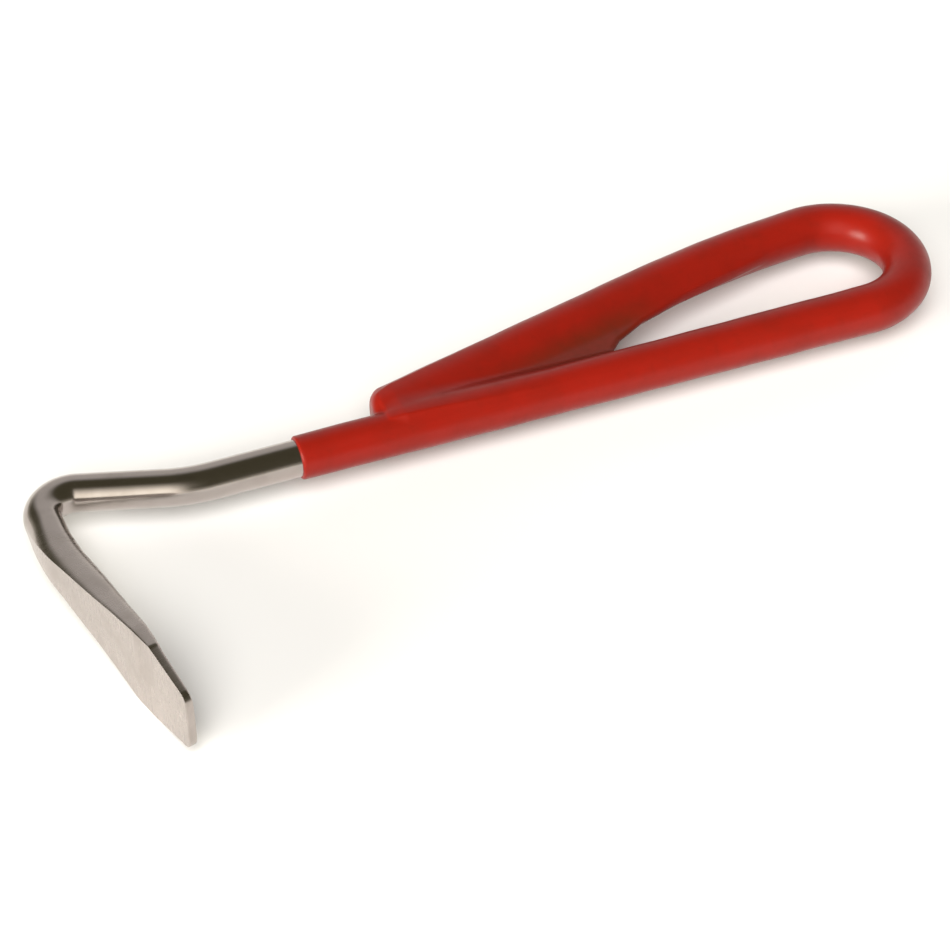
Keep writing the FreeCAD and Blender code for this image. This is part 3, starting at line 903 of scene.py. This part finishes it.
def direction(azimuth, elevation):
    """Unit vector from the object towards a viewer; azimuth 0 stands at -Y, and 90 degrees at +X."""
    return Vector((math.sin(azimuth) * math.cos(elevation), -math.cos(azimuth) * math.cos(elevation),
                   math.sin(elevation)))


def make_floor(stage):
    """Wide plain floor under the tool: a flat disc worked out as rings."""
    rings, around = 24, 64
    radius = FLOOR_RADIUS * np.linspace(0, 1, rings + 1)[1:] ** 2
    turn = np.linspace(0, 2 * math.pi, around, endpoint=False)
    flat = radius[:, None] * np.exp(1j * turn)[None, :]
    points = np.stack([flat.real, flat.imag, np.zeros_like(flat.real)], -1).reshape(-1, 3)
    points = np.concatenate([points, [[0, 0, 0]]])
    points[:, 2] = CAD_BOX[0][2] - FLOOR_GAP
    ring, step = np.meshgrid(np.arange(rings - 1), np.arange(around), indexing="ij")
    after = (step + 1) % around
    quads = np.stack([ring * around + step, (ring + 1) * around + step,
                      (ring + 1) * around + after, ring * around + after], -1).reshape(-1, 4)
    hub = np.stack([np.full(around, rings * around), np.arange(around), (np.arange(around) + 1) % around], -1)
    mesh = new_mesh("studio_floor", points, quads, hub)
    mesh.materials.append(floor_material(stage))
    floor = bpy.data.objects.new("studio_floor", mesh)
    bpy.context.scene.collection.objects.link(floor)


def make_camera(stage, aim):
    """Camera that looks at a point from a direction, turned about its own axis."""
    data = bpy.data.cameras.new("camera")
    data.lens = stage.focal_length
    data.clip_start, data.clip_end = 0.01, 20
    camera = bpy.data.objects.new("camera", data)
    bpy.context.scene.collection.objects.link(camera)
    way = direction(stage.azimuth, stage.elevation)
    right = Vector((math.cos(stage.azimuth), math.sin(stage.azimuth), 0))
    up = way.cross(right)
    across = right * math.cos(stage.roll) + up * math.sin(stage.roll)
    above = up * math.cos(stage.roll) - right * math.sin(stage.roll)
    turned = Matrix((across, above, way)).transposed()
    camera.matrix_world = Matrix.Translation(aim + way * stage.distance) @ turned.to_4x4()
    bpy.context.scene.camera = camera


# ---------------------------------------------------------------- operators
class HOOFPICK_OT_steel_rod(bpy.types.Operator):
    """Build the bent rod with its forged hook"""
    bl_idname = "hoofpick.steel_rod"
    bl_label = "Steel rod"

    def execute(self, context):
        scene = context.scene
        mesh = make_rod_mesh(scene.hoof_pick_rod)
        finish_piece("rod_plated", mesh, steel_material(scene.hoof_pick_finish), "steel_rod")
        return {"FINISHED"}


class HOOFPICK_OT_vinyl_grip(bpy.types.Operator):
    """Build the dipped coat on the loop handle"""
    bl_idname = "hoofpick.vinyl_grip"
    bl_label = "Vinyl grip"

    def execute(self, context):
        scene = context.scene
        mesh = make_coat_mesh(scene.hoof_pick_rod, scene.hoof_pick_grip)
        finish_piece("grip_dipped", mesh, vinyl_material(scene.hoof_pick_finish), "vinyl_grip")
        return {"FINISHED"}


class HOOFPICK_OT_stage(bpy.types.Operator):
    """Set up the floor, lights and camera"""
    bl_idname = "hoofpick.stage"
    bl_label = "Stage"

    def execute(self, context):
        scene = context.scene
        stage = scene.hoof_pick_stage
        origin = bend_origin(scene.hoof_pick_rod)
        aim = origin - Vector((stage.aim_back, stage.aim_side, 0))
        scene.view_settings.view_transform = "Standard"
        make_world(stage)
        make_floor(stage)
        add_soft_light(aim, stage.studio_light)
        make_camera(stage, aim)
        return {"FINISHED"}


class HOOFPICK_PT_sidebar(bpy.types.Panel):
    """Buttons and settings of the hoof pick"""
    bl_label = "Hoof Pick"
    bl_idname = "HOOFPICK_PT_sidebar"
    bl_space_type = "VIEW_3D"
    bl_region_type = "UI"
    bl_category = "Hoof Pick"

    def draw(self, context):
        layout = self.layout
        for operator in OPERATORS:
            layout.operator(operator.bl_idname)
        for name, group in SETTINGS.items():
            box = layout.box()
            box.label(text=group.__doc__)
            for setting in group.__annotations__:
                box.prop(getattr(context.scene, name), setting)


OPERATORS = (HOOFPICK_OT_steel_rod, HOOFPICK_OT_vinyl_grip, HOOFPICK_OT_stage)
CLASSES = (*SETTINGS.values(), *OPERATORS, HOOFPICK_PT_sidebar)


def register():
    for item in CLASSES:
        bpy.utils.register_class(item)
    for name, group in SETTINGS.items():
        setattr(bpy.types.Scene, name, bpy.props.PointerProperty(type=group))


def unregister():
    for name in SETTINGS:
        delattr(bpy.types.Scene, name)
    for item in reversed(CLASSES):
        bpy.utils.unregister_class(item)


def main():
    """Builds every piece and the stage."""
    register()
    bpy.ops.hoofpick.steel_rod()
    bpy.ops.hoofpick.vinyl_grip()
    bpy.ops.hoofpick.stage()


if __name__ == "__main__":
    main()
